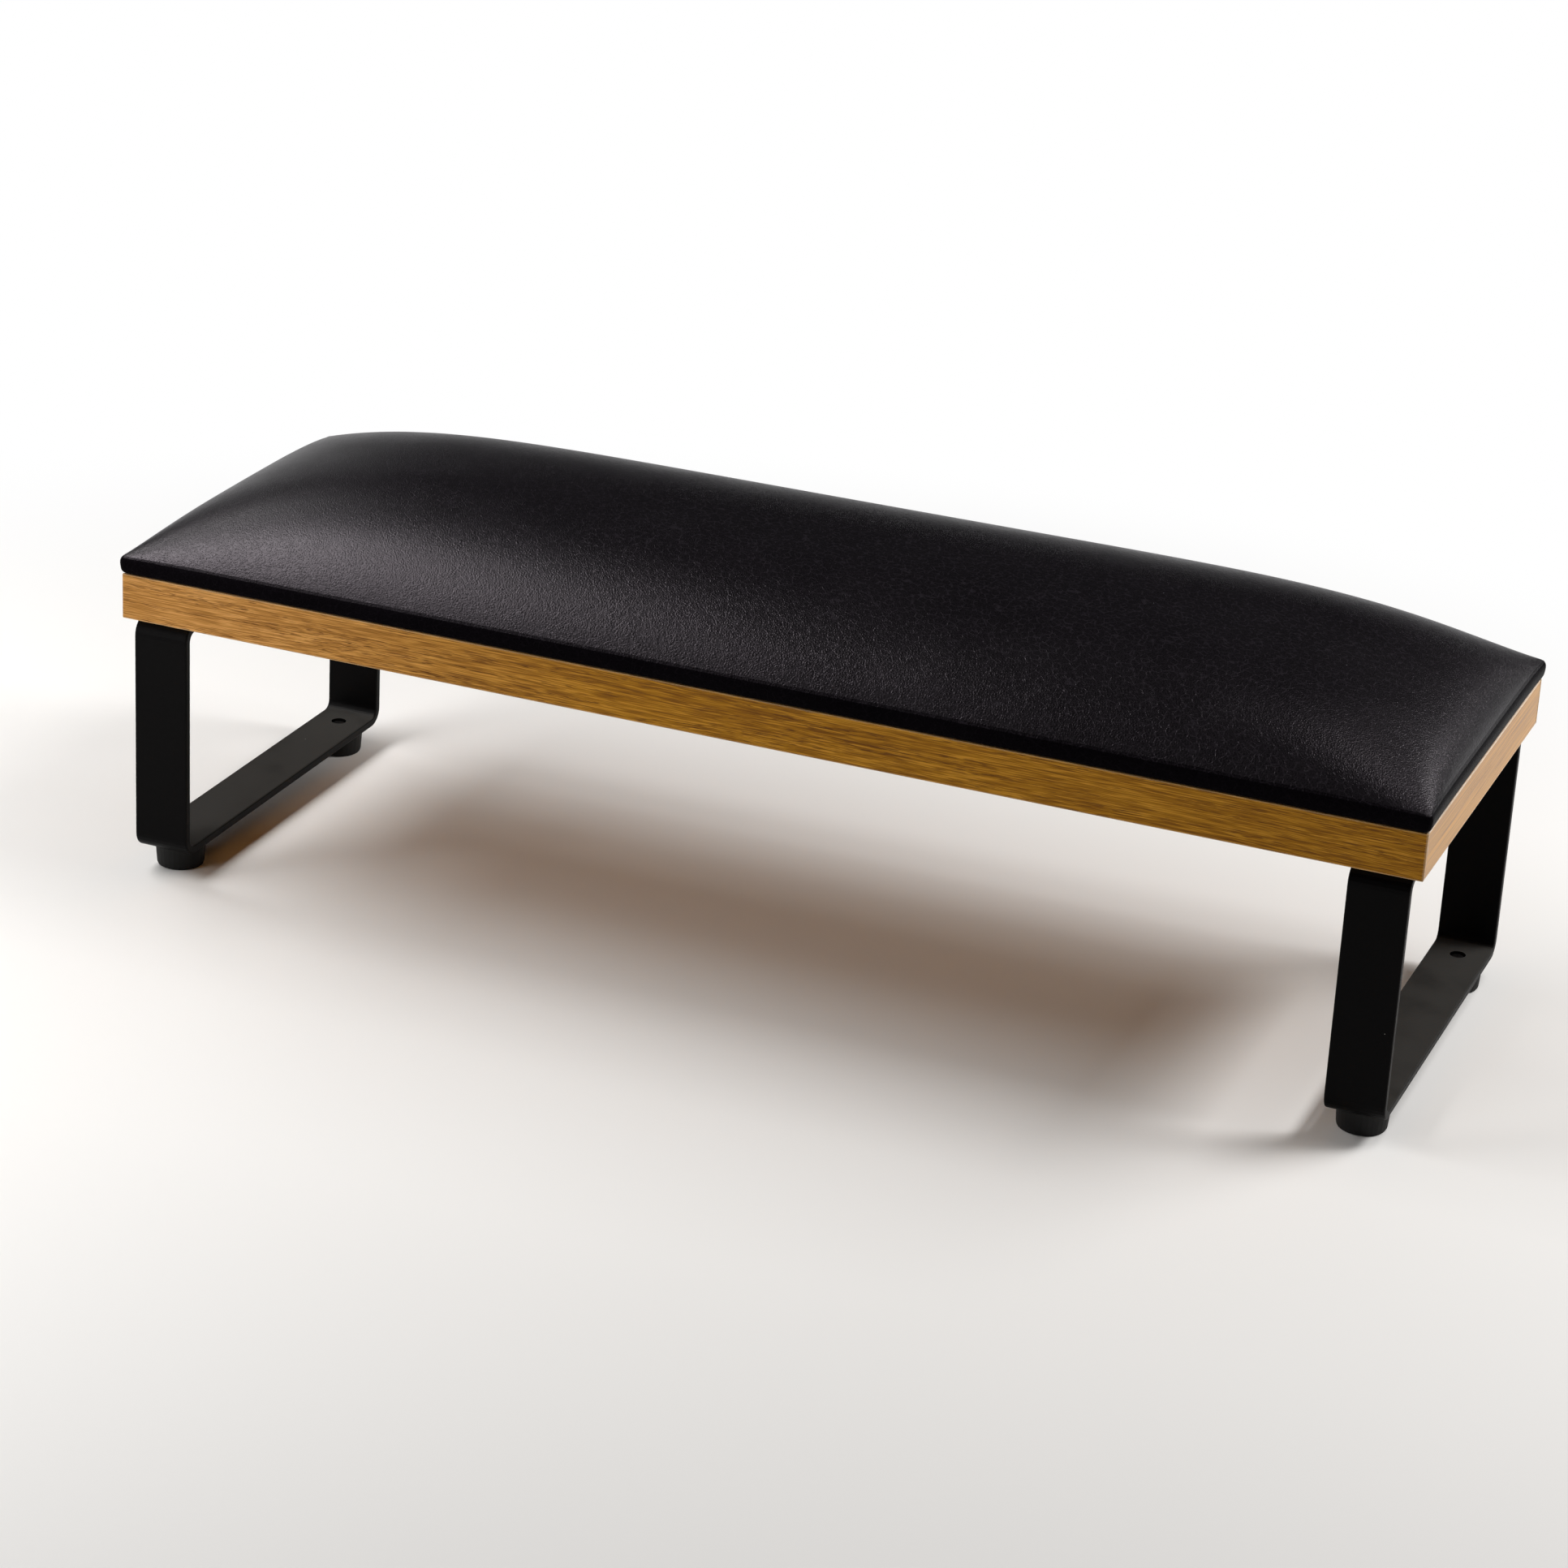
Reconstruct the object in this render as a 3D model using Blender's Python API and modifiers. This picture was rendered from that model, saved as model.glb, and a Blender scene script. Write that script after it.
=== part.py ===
"""Manicure hand rest.

A crowned cushion in black faux leather lies on an edge-banded oak-look board. The board is
screwed to two closed loops of black flat bar, and each loop stands on two rubber feet.

Metres, +Z up. X runs along the board and -Y is the front. The origin is on the surface that
the feet stand on, below the middle of the board.
"""

import math

import bmesh
import bpy
from mathutils import Vector

# Clearances and mesh detail
seat_gap = 0.0003
cut_overrun = 0.002
merge_distance = 0.00001
turned_steps = 16
foot_steps = 28
arc_steps = 7

# Board, faced on both sides, with a band glued to each edge
board_length = 0.455
board_width = 0.149
board_thickness = 0.016
band_thickness = 0.001
band_rounding = 0.0003

# Closed loops of flat bar that carry the board
bar_width = 0.020
bar_thickness = 0.003
bar_rounding = 0.0005
loop_side_inset = 0.0015
loop_height = 0.085
bend_inner_radius = 0.003
loop_end_inset = 0.0038

# Rubber feet, each with a washer and a machine screw up into the bar
foot_height = 0.008
foot_top_radius = 0.0088
foot_bottom_radius = 0.00825
foot_rim_radius = 0.0009
foot_web = 0.003
foot_from_loop_face = 0.0138
washer_radius = 0.005
washer_thickness = 0.001
foot_screw_radius = 0.0025
foot_screw_head_radius = 0.0043
foot_screw_head_height = 0.0022
foot_screw_tip_chamfer = 0.0004
foot_screw_below_bar_face = 0.0008

# Pan-head wood screws from the loops up into the board
leg_screw_length = 0.016
leg_screw_radius = 0.00175
leg_screw_tip = 0.003
leg_screw_head_radius = 0.0034
leg_screw_head_height = 0.0022
leg_screw_from_loop_face = 0.021
leg_screws_per_loop = 3

# Countersunk wood screws from the board up into the cushion's base board
cushion_screw_length = 0.020
cushion_screw_radius = 0.00175
cushion_screw_tip = 0.003
cushion_screw_head_radius = 0.0035
cushion_screw_head_height = 0.0020
cushion_screw_head_rim = 0.0003
cushion_screw_from_end = 0.0775
cushion_screw_from_side = 0.0345

# Screw heads: a cross recess and a domed pan head, in shares of the head
recess_arm_share = 0.55
recess_slot_share = 0.14
recess_depth_share = 0.62
pan_radius_shares = (1.0, 1.0, 0.84, 0.5)
pan_height_shares = (0.0, 0.42, 0.86, 1.0)

# Cushion: cover, foam and base board
cushion_end_overhang = 0.0002
cushion_side_overhang = 0.0005
cushion_corner_radius = 0.0025
cover_thickness = 0.001
cover_hem = 0.022
cover_hem_corner_radius = 0.001
cover_bottom_roll = 0.0007
cover_top_roll_inset = 0.0005
cover_top_roll_drop = 0.001
base_board_thickness = 0.003
crown_rise = 0.0244

# The crown's run-in, from the cushion's border to its middle. Each place is a share of the way
# from the corner radius to the middle, and each rise is a share of the crown's rise.
corner_place_shares = (0.0, 0.5, 1.0)
corner_end_rise_shares = (0.0, 0.062, 0.118)
corner_side_rise_shares = (0.0, 0.11, 0.202)
end_place_shares = (0.022, 0.062, 0.138, 0.258, 0.457, 1.0)
end_rise_shares = (0.315, 0.507, 0.698, 0.865, 0.975, 1.0)
side_place_shares = (0.069, 0.152, 0.248, 0.386, 0.607, 1.0)
side_rise_shares = (0.508, 0.705, 0.838, 0.938, 0.992, 1.0)

# Wire staples that hold the cover's hem to the base board
staple_width = 0.010
staple_leg = 0.0036
staple_wire_thickness = 0.0006
staple_wire_width = 0.0012
staple_edge_distance = 0.012
staples_per_side = 5
staples_per_end = 2
staple_row_share = 0.82
staple_end_row_share = 0.52

# Heights and half sizes that follow from the sizes above
loop_base_z = foot_height + seat_gap
loop_top_z = loop_base_z + loop_height
board_base_z = loop_top_z + seat_gap
board_top_z = board_base_z + board_thickness
loop_depth = board_width - 2 * loop_side_inset
loop_centre_x = board_length / 2 - loop_end_inset - bar_width / 2
between_loops_half = loop_centre_x - bar_width / 2 - seat_gap
foot_centre_y = loop_depth / 2 - foot_from_loop_face
between_feet_half = foot_centre_y - foot_top_radius - seat_gap
leg_screw_spacing = (loop_depth - 2 * leg_screw_from_loop_face) / (leg_screws_per_loop - 1)
cushion_screw_spacing_x = board_length - 2 * cushion_screw_from_end
cushion_screw_spacing_y = board_width - 2 * cushion_screw_from_side
cushion_half_length = board_length / 2 + cushion_end_overhang
cushion_half_width = board_width / 2 + cushion_side_overhang
cover_base_z = board_top_z + seat_gap
base_board_inset = cover_thickness + seat_gap
base_board_base_z = cover_base_z + cover_thickness + seat_gap
base_board_top_z = base_board_base_z + base_board_thickness
cover_crease_z = base_board_top_z + seat_gap + cover_thickness
foam_inset = cover_top_roll_inset + cover_thickness + seat_gap
foam_base_z = base_board_top_z + seat_gap
foam_rise = cover_crease_z + crown_rise - cover_thickness - seat_gap - foam_base_z

ends = (("left", -1), ("right", 1))
sides = (("front", -1), ("back", 1))


def start_scene():
    """Empty the scene and return the collections for the parts and for the cutters."""
    for item in list(bpy.data.objects):
        bpy.data.objects.remove(item, do_unlink=True)
    groups = []
    for name in ("manicure_hand_rest", "cutters"):
        group = bpy.data.collections.new(name)
        bpy.context.scene.collection.children.link(group)
        groups.append(group)
    return groups


parts, cutters = start_scene()


def make_material(name, colour, roughness, metallic=0.0):
    material = bpy.data.materials.new(name)
    material.use_nodes = True
    shader = material.node_tree.nodes["Principled BSDF"]
    shader.inputs["Base Color"].default_value = (*colour, 1.0)
    shader.inputs["Roughness"].default_value = roughness
    shader.inputs["Metallic"].default_value = metallic
    material.diffuse_color = (*colour, 1.0)
    return material


oak_decor = make_material("oak_decor", (0.38, 0.20, 0.07), 0.5)
hardboard = make_material("hardboard", (0.20, 0.11, 0.05), 0.8)
foam_white = make_material("foam", (0.75, 0.72, 0.60), 0.9)
faux_leather = make_material("black_faux_leather", (0.012, 0.011, 0.013), 0.5)
powder_coat = make_material("black_powder_coat", (0.010, 0.010, 0.009), 0.45)
black_rubber = make_material("black_rubber", (0.008, 0.008, 0.008), 0.7)
plated_steel = make_material("plated_steel", (0.55, 0.54, 0.52), 0.35, 1.0)
black_steel = make_material("blackened_steel", (0.03, 0.03, 0.03), 0.4, 1.0)


def add_empty(name, location, parent=None):
    empty = bpy.data.objects.new(name, None)
    parts.objects.link(empty)
    empty.parent = parent
    empty.location = location
    return empty


def add_piece(name, mesh, parent, location, material=None, rotation_z=0.0, group=parts):
    """A mesh as a named object under its unit, with its material."""
    piece = bpy.data.objects.new(name, mesh)
    group.objects.link(piece)
    piece.parent = parent
    piece.location = location
    piece.rotation_euler = (0.0, 0.0, rotation_z)
    if material and not mesh.materials:
        mesh.materials.append(material)
    return piece


def cutter_group(name):
    group = bpy.data.collections.new(name)
    cutters.children.link(group)
    return group


def add_cutter(name, mesh, parent, location, group, rotation_z=0.0):
    cutter = add_piece(name, mesh, parent, location, rotation_z=rotation_z, group=group)
    cutter.hide_render = True
    cutter.display_type = "WIRE"
    return cutter


def cut_with(piece, group):
    """Take every cutter of a collection out of the piece."""
    holes = piece.modifiers.new("holes", "BOOLEAN")
    holes.operation = "DIFFERENCE"
    holes.solver = "EXACT"
    holes.operand_type = "COLLECTION"
    holes.collection = group


def round_edges(piece, width, segments=2):
    rounding = piece.modifiers.new("rounding", "BEVEL")
    rounding.width = width
    rounding.segments = segments
    rounding.limit_method = "ANGLE"


def mesh_from(name, shape):
    mesh = bpy.data.meshes.new(name)
    shape.to_mesh(mesh)
    shape.free()
    return mesh


def box_mesh(name, length, width, height):
    shape = bmesh.new()
    bmesh.ops.create_cube(shape, size=1)
    bmesh.ops.scale(shape, vec=(length, width, height), verts=shape.verts)
    return mesh_from(name, shape)


def score_across(mesh, places):
    """Split the mesh's faces at places along X, so that each stretch has faces of its own."""
    along = Vector((1.0, 0.0, 0.0))
    shape = bmesh.new()
    shape.from_mesh(mesh)
    for place in places:
        everything = list(shape.verts) + list(shape.edges) + list(shape.faces)
        bmesh.ops.bisect_plane(shape, geom=everything, plane_co=along * place, plane_no=along)
    shape.to_mesh(mesh)
    shape.free()


def plate_mesh(name, length, width, height, corner):
    """A flat plate with rounded upright edges."""
    shape = bmesh.new()
    bmesh.ops.create_cube(shape, size=1)
    bmesh.ops.scale(shape, vec=(length, width, height), verts=shape.verts)
    upright = [edge for edge in shape.edges if edge.verts[0].co.xy == edge.verts[1].co.xy]
    bmesh.ops.bevel(
        shape, geom=upright, offset=corner, segments=3, profile=0.5, affect="EDGES"
    )
    return mesh_from(name, shape)


def cylinder_mesh(name, radius, height, steps=turned_steps):
    shape = bmesh.new()
    bmesh.ops.create_cone(
        shape, cap_ends=True, segments=steps, radius1=radius, radius2=radius, depth=height
    )
    return mesh_from(name, shape)


def smooth_round_faces(mesh):
    mesh.shade_smooth()
    mesh.set_sharp_from_angle(angle=math.radians(40))


def turned_object(name, profile, closed=False, steps=turned_steps):
    """A profile of (radius, height) points, spun about Z. It runs down the outer side."""
    points = [(radius, 0.0, height) for radius, height in profile]
    edges = [(i, i + 1) for i in range(len(points) - 1)]
    if closed:
        edges.append((len(points) - 1, 0))
    mesh = bpy.data.meshes.new(name)
    mesh.from_pydata(points, edges, [])
    piece = add_piece(name, mesh, None, (0.0, 0.0, 0.0))
    spin = piece.modifiers.new("spin", "SCREW")
    spin.steps = steps
    spin.render_steps = steps
    spin.use_merge_vertices = True
    spin.merge_threshold = merge_distance
    return piece


def finished_mesh(piece):
    """The piece's mesh with its modifiers applied, for its copies to share."""
    depsgraph = bpy.context.evaluated_depsgraph_get()
    mesh = bpy.data.meshes.new_from_object(piece.evaluated_get(depsgraph))
    mesh.name = piece.name
    bpy.data.objects.remove(piece)
    smooth_round_faces(mesh)
    return mesh


def recessed_screw_mesh(name, profile, head_radius, head_height, face_z):
    """A turned screw, point up, with a cross recess in the head face that looks down."""
    screw = turned_object(name, profile)
    arm = 2 * head_radius * recess_arm_share
    slot = 2 * head_radius * recess_slot_share
    depth = head_height * recess_depth_share
    height = depth + cut_overrun
    recess = cutter_group(name + "_recess")
    centre = (0.0, 0.0, face_z + depth - height / 2)
    add_cutter(name + "_slot_x", box_mesh("slot_x", arm, slot, height), None, centre, recess)
    add_cutter(name + "_slot_y", box_mesh("slot_y", slot, arm, height), None, centre, recess)
    cut_with(screw, recess)
    mesh = finished_mesh(screw)
    for cutter in list(recess.objects):
        bpy.data.objects.remove(cutter)
    bpy.data.collections.remove(recess)
    return mesh


def pan_head_profile(head_radius, head_height):
    """The pan head below its bearing face at height zero, from that face's rim to the middle."""
    points = [
        (head_radius * across, -head_height * down)
        for across, down in zip(pan_radius_shares, pan_height_shares)
    ]
    points.append((0.0, -head_height))
    return points


def evenly_spaced(count, spacing):
    """Places in a row of that spacing, centred on zero."""
    return [(i - (count - 1) / 2) * spacing for i in range(count)]


# The units that the object comes apart into, as empties that carry their pieces
hand_rest = add_empty("hand_rest", (0.0, 0.0, 0.0))
board_unit = add_empty("board_unit", (0.0, 0.0, board_base_z), hand_rest)
cushion_unit = add_empty("cushion_unit", (0.0, 0.0, cover_base_z), hand_rest)
leg_units = {}
for end_name, end_side in ends:
    unit_place = (end_side * loop_centre_x, 0.0, 0.0)
    leg_units[end_name] = add_empty("leg_unit_" + end_name, unit_place, hand_rest)


def make_board():
    """The faced core and its four bands. The long bands cover the ends of the short ones."""
    allowance = 2 * (band_thickness + seat_gap)
    core_length = board_length - allowance
    core_width = board_width - allowance
    middle_z = board_thickness / 2
    core_mesh = box_mesh("board_core", core_length, core_width, board_thickness)
    score_across(core_mesh, (-between_loops_half, between_loops_half))
    core = add_piece("board_core", core_mesh, board_unit, (0.0, 0.0, middle_z), oak_decor)

    for side_name, side in sides:
        mesh = box_mesh("long_band", board_length, band_thickness, board_thickness)
        place_y = side * (board_width - band_thickness) / 2
        name = "edge_band_" + side_name
        band = add_piece(name, mesh, board_unit, (0.0, place_y, middle_z), oak_decor)
        round_edges(band, band_rounding)
    for end_name, end_side in ends:
        mesh = box_mesh("short_band", band_thickness, core_width, board_thickness)
        place_x = end_side * (board_length - band_thickness) / 2
        name = "edge_band_" + end_name
        band = add_piece(name, mesh, board_unit, (place_x, 0.0, middle_z), oak_decor)
        round_edges(band, band_rounding)
    return core


def loop_outline():
    """The loop's outside in the YZ plane, from its base, as four arcs joined by straights.

    The base's stretch between the feet has points of its own.
    """
    radius = bend_inner_radius + bar_thickness
    points = []
    corners = (
        (1, radius, -90),
        (1, loop_height - radius, 0),
        (-1, loop_height - radius, 90),
        (-1, radius, 180),
    )
    for side, centre_z, start in corners:
        centre_y = side * (loop_depth / 2 - radius)
        for step in range(arc_steps + 1):
            angle = math.radians(start + 90 * step / arc_steps)
            points.append((centre_y + radius * math.cos(angle), centre_z + radius * math.sin(angle)))
    points.append((-between_feet_half, 0.0))
    points.append((between_feet_half, 0.0))
    return points


def loop_mesh():
    """The bent bar's outer face, as a closed ribbon. Solidify gives it the bar's thickness."""
    shape = bmesh.new()
    outline = [shape.verts.new((-bar_width / 2, y, z)) for y, z in loop_outline()]
    edges = [shape.edges.new((a, b)) for a, b in zip(outline, outline[1:] + outline[:1])]
    ribbon = bmesh.ops.extrude_edge_only(shape, edges=edges)
    moved = [item for item in ribbon["geom"] if isinstance(item, bmesh.types.BMVert)]
    bmesh.ops.translate(shape, verts=moved, vec=(bar_width, 0.0, 0.0))
    bmesh.ops.recalc_face_normals(shape, faces=shape.faces)
    if shape.faces[0].normal.dot(shape.faces[0].calc_center_median()) > 0:
        bmesh.ops.reverse_faces(shape, faces=shape.faces)
    return mesh_from("loop", shape)


def make_leg(end_name):
    """A closed loop of flat bar, bored for the screws above it and for the feet below it."""
    unit = leg_units[end_name]
    loop = add_piece("leg_" + end_name, loop_mesh(), unit, (0.0, 0.0, loop_base_z), powder_coat)
    wall = loop.modifiers.new("bar_thickness", "SOLIDIFY")
    wall.thickness = bar_thickness
    wall.offset = 1.0
    wall.use_even_offset = True
    round_edges(loop, bar_rounding)

    holes = cutter_group("leg_holes_" + end_name)
    hole_height = bar_thickness + 2 * cut_overrun
    top_hole = cylinder_mesh("top_hole", leg_screw_radius + seat_gap, hole_height)
    bottom_hole = cylinder_mesh("bottom_hole", foot_screw_radius + seat_gap, hole_height)
    for i, place_y in enumerate(evenly_spaced(leg_screws_per_loop, leg_screw_spacing)):
        place = (0.0, place_y, loop_top_z - bar_thickness / 2)
        add_cutter(f"top_hole_{end_name}_{i + 1}", top_hole, unit, place, holes)
    for side_name, side in sides:
        place = (0.0, side * foot_centre_y, loop_base_z + bar_thickness / 2)
        add_cutter(f"bottom_hole_{end_name}_{side_name}", bottom_hole, unit, place, holes)
    cut_with(loop, holes)


def foot_meshes():
    """The rubber foot, its washer and its screw, each turned about its own axis."""
    recess_radius = washer_radius + seat_gap
    bore_radius = foot_screw_radius + seat_gap
    web_z = foot_height - foot_web
    rim_middle_share = math.sin(math.radians(45))
    foot_profile = (
        (foot_top_radius, foot_height),
        (foot_bottom_radius, foot_rim_radius),
        (
            foot_bottom_radius - foot_rim_radius * (1 - rim_middle_share),
            foot_rim_radius * (1 - rim_middle_share),
        ),
        (foot_bottom_radius - foot_rim_radius, 0.0),
        (recess_radius, 0.0),
        (recess_radius, web_z),
        (bore_radius, web_z),
        (bore_radius, foot_height),
    )
    foot = finished_mesh(turned_object("foot", foot_profile, closed=True, steps=foot_steps))

    washer_profile = (
        (washer_radius, washer_thickness),
        (washer_radius, 0.0),
        (bore_radius, 0.0),
        (bore_radius, washer_thickness),
    )
    washer = finished_mesh(turned_object("washer", washer_profile, closed=True))

    washer_z = web_z - seat_gap - washer_thickness
    bearing_z = washer_z - seat_gap
    tip_z = loop_base_z + bar_thickness - foot_screw_below_bar_face
    length = tip_z - bearing_z
    screw_profile = [
        (0.0, length),
        (foot_screw_radius - foot_screw_tip_chamfer, length),
        (foot_screw_radius, length - foot_screw_tip_chamfer),
        (foot_screw_radius, 0.0),
    ]
    screw_profile += pan_head_profile(foot_screw_head_radius, foot_screw_head_height)
    screw = recessed_screw_mesh(
        "foot_screw",
        screw_profile,
        foot_screw_head_radius,
        foot_screw_head_height,
        -foot_screw_head_height,
    )
    return foot, washer, screw, washer_z, bearing_z


def make_feet():
    foot, washer, screw, washer_z, bearing_z = foot_meshes()
    for end_name, unit in leg_units.items():
        for side_name, side in sides:
            corner = f"{side_name}_{end_name}"
            y = side * foot_centre_y
            add_piece("foot_" + corner, foot, unit, (0.0, y, 0.0), black_rubber)
            add_piece("foot_washer_" + corner, washer, unit, (0.0, y, washer_z), plated_steel)
            add_piece("foot_screw_" + corner, screw, unit, (0.0, y, bearing_z), black_steel)


def make_leg_screws(board_holes):
    """Screws up through each loop's top bar into blind pilot holes in the board."""
    profile = [
        (0.0, leg_screw_length),
        (leg_screw_radius, leg_screw_length - leg_screw_tip),
        (leg_screw_radius, 0.0),
    ]
    profile += pan_head_profile(leg_screw_head_radius, leg_screw_head_height)
    screw = recessed_screw_mesh(
        "leg_screw",
        profile,
        leg_screw_head_radius,
        leg_screw_head_height,
        -leg_screw_head_height,
    )
    bearing_z = loop_top_z - bar_thickness - seat_gap
    pilot_top_z = bearing_z + leg_screw_length + seat_gap
    pilot_base_z = board_base_z - cut_overrun
    pilot = cylinder_mesh("pilot", leg_screw_radius + seat_gap, pilot_top_z - pilot_base_z)
    pilot_z = (pilot_top_z + pilot_base_z) / 2
    for end_name, unit in leg_units.items():
        for i, y in enumerate(evenly_spaced(leg_screws_per_loop, leg_screw_spacing)):
            tag = f"{end_name}_{i + 1}"
            add_piece("leg_screw_" + tag, screw, unit, (0.0, y, bearing_z), plated_steel)
            add_cutter("pilot_" + tag, pilot, unit, (0.0, y, pilot_z), board_holes)


def make_cushion_screws(board_holes, base_board_holes):
    """Countersunk screws, flush below the board, that hold the cushion's base board."""
    head_z = cushion_screw_head_height
    profile = (
        (0.0, cushion_screw_length),
        (cushion_screw_radius, cushion_screw_length - cushion_screw_tip),
        (cushion_screw_radius, head_z),
        (cushion_screw_head_radius, cushion_screw_head_rim),
        (cushion_screw_head_radius, 0.0),
        (0.0, 0.0),
    )
    screw = recessed_screw_mesh(
        "cushion_screw", profile, cushion_screw_head_radius, cushion_screw_head_height, 0.0
    )
    hole_radius = cushion_screw_radius + seat_gap
    mouth_radius = cushion_screw_head_radius + seat_gap
    hole_top_z = board_thickness + cut_overrun
    board_hole = finished_mesh(
        turned_object(
            "screw_hole",
            (
                (0.0, hole_top_z),
                (hole_radius, hole_top_z),
                (hole_radius, head_z + 2 * seat_gap),
                (mouth_radius, cushion_screw_head_rim + 2 * seat_gap),
                (mouth_radius, -cut_overrun),
                (0.0, -cut_overrun),
            ),
        )
    )
    pilot_height = base_board_thickness + 2 * cut_overrun
    pilot = cylinder_mesh("base_board_pilot", hole_radius, pilot_height)
    pilot_z = base_board_base_z + base_board_thickness / 2
    number = 0
    for x in evenly_spaced(2, cushion_screw_spacing_x):
        for y in evenly_spaced(2, cushion_screw_spacing_y):
            number += 1
            place = (x, y, seat_gap)
            add_piece(f"cushion_screw_{number}", screw, board_unit, place, plated_steel)
            add_cutter(f"screw_hole_{number}", board_hole, board_unit, (x, y, 0.0), board_holes)
            place = (x, y, pilot_z)
            add_cutter(f"base_board_pilot_{number}", pilot, hand_rest, place, base_board_holes)


def border_distances(half_size, place_shares, corner):
    """Distances in from the border: across the corner's radius, then on to the middle."""
    distances = [corner * share for share in corner_place_shares]
    return distances + [corner + (half_size - corner) * share for share in place_shares]


def crown_lines(half_size, place_shares, corner, corner_rises, rises):
    """The crown's grid lines in one direction, as (place, share of the rise)."""
    distances = border_distances(half_size, place_shares, corner)
    near = [(distance - half_size, rise) for distance, rise in zip(distances, corner_rises + rises)]
    far = [(-place, rise) for place, rise in reversed(near[:-1])]
    return near + far


def rounded_corner(x, y, half_length, half_width, corner):
    """Move a point of the square corner's zone onto the rounded corner's rings."""
    over_x = abs(x) - (half_length - corner)
    over_y = abs(y) - (half_width - corner)
    if over_x <= 0 or over_y <= 0:
        return x, y
    shrink = max(over_x, over_y) / math.hypot(over_x, over_y)
    new_x = math.copysign(half_length - corner + over_x * shrink, x)
    new_y = math.copysign(half_width - corner + over_y * shrink, y)
    return new_x, new_y


def crown_shape(half_length, half_width, corner, border_z, rise):
    """An open crowned sheet over a rounded rectangle, from a flat grid."""
    x_lines = crown_lines(
        half_length, end_place_shares, corner, corner_end_rise_shares, end_rise_shares
    )
    y_lines = crown_lines(
        half_width, side_place_shares, corner, corner_side_rise_shares, side_rise_shares
    )
    shape = bmesh.new()
    columns = len(x_lines) - 1
    rows = len(y_lines) - 1
    bmesh.ops.create_grid(shape, x_segments=columns, y_segments=rows, size=1)
    for vert in shape.verts:
        x, x_rise = x_lines[round((vert.co.x + 1) / 2 * columns)]
        y, y_rise = y_lines[round((vert.co.y + 1) / 2 * rows)]
        x, y = rounded_corner(x, y, half_length, half_width, corner)
        vert.co = (x, y, border_z + rise * x_rise * y_rise)
    return shape


def extend_border(shape, half_length, half_width, corner, rings):
    """Pull the sheet's border down and in, one ring at a time.

    Each ring is (inset from the border's first size, height, corner radius). The straight
    stretches and the corner arcs keep their points, so the rings match one to one.
    """
    border = [edge for edge in shape.edges if edge.is_boundary]
    verts = {vert for edge in border for vert in edge.verts}
    run_x = half_length - corner
    run_y = half_width - corner
    routes = {}
    for vert in verts:
        along = Vector((max(-run_x, min(run_x, vert.co.x)), max(-run_y, min(run_y, vert.co.y))))
        outward = Vector(vert.co.xy) - along
        routes[vert] = (along, outward.normalized())
    for inset, height, ring_corner in rings:
        new_run_x = half_length - inset - ring_corner
        new_run_y = half_width - inset - ring_corner
        result = bmesh.ops.extrude_edge_only(shape, edges=border)
        new_verts = [item for item in result["geom"] if isinstance(item, bmesh.types.BMVert)]
        new_edges = [item for item in result["geom"] if isinstance(item, bmesh.types.BMEdge)]
        border = [edge for edge in new_edges if edge.is_boundary]
        new_routes = {}
        for vert in new_verts:
            old = next(v for e in vert.link_edges for v in e.verts if v in routes)
            along, outward = routes[old]
            place = Vector((along.x * new_run_x / run_x, along.y * new_run_y / run_y))
            place += outward * ring_corner
            vert.co = (place.x, place.y, height)
            new_routes[vert] = (along, outward)
        routes = new_routes
    return border


def make_cover(hem_slots):
    """The cover: crown, top crease, upright edge, bottom roll and the hem below."""
    crown_corner = cushion_corner_radius - cover_top_roll_inset
    half_length = cushion_half_length - cover_top_roll_inset
    half_width = cushion_half_width - cover_top_roll_inset
    crease_z = cover_crease_z - cover_base_z
    shape = crown_shape(half_length, half_width, crown_corner, crease_z, crown_rise)
    rings = (
        (-cover_top_roll_inset, crease_z - cover_top_roll_drop, cushion_corner_radius),
        (-cover_top_roll_inset, cover_bottom_roll, cushion_corner_radius),
        (cover_bottom_roll - cover_top_roll_inset, 0.0, cushion_corner_radius - cover_bottom_roll),
        (cover_hem - cover_top_roll_inset, 0.0, cover_hem_corner_radius),
    )
    extend_border(shape, half_length, half_width, crown_corner, rings)
    bmesh.ops.recalc_face_normals(shape, faces=shape.faces)
    mesh = mesh_from("cushion_cover", shape)
    cover = add_piece("cushion_cover", mesh, cushion_unit, (0.0, 0.0, 0.0), faux_leather)
    wall = cover.modifiers.new("cover_thickness", "SOLIDIFY")
    wall.thickness = cover_thickness
    wall.offset = -1.0
    wall.use_even_offset = True
    cut_with(cover, hem_slots)
    smooth_round_faces(mesh)


def make_foam():
    """The foam pad: the cover's crown, smaller by the cover and its clearance, on a flat base."""
    corner = cushion_corner_radius
    half_length = cushion_half_length - foam_inset
    half_width = cushion_half_width - foam_inset
    shape = crown_shape(half_length, half_width, corner, 0.0, foam_rise)
    border = [edge for edge in shape.edges if edge.is_boundary]
    bmesh.ops.contextual_create(shape, geom=border)
    bmesh.ops.recalc_face_normals(shape, faces=shape.faces)
    mesh = mesh_from("cushion_foam", shape)
    place = (0.0, 0.0, foam_base_z - cover_base_z)
    add_piece("cushion_foam", mesh, cushion_unit, place, foam_white)
    smooth_round_faces(mesh)


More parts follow.
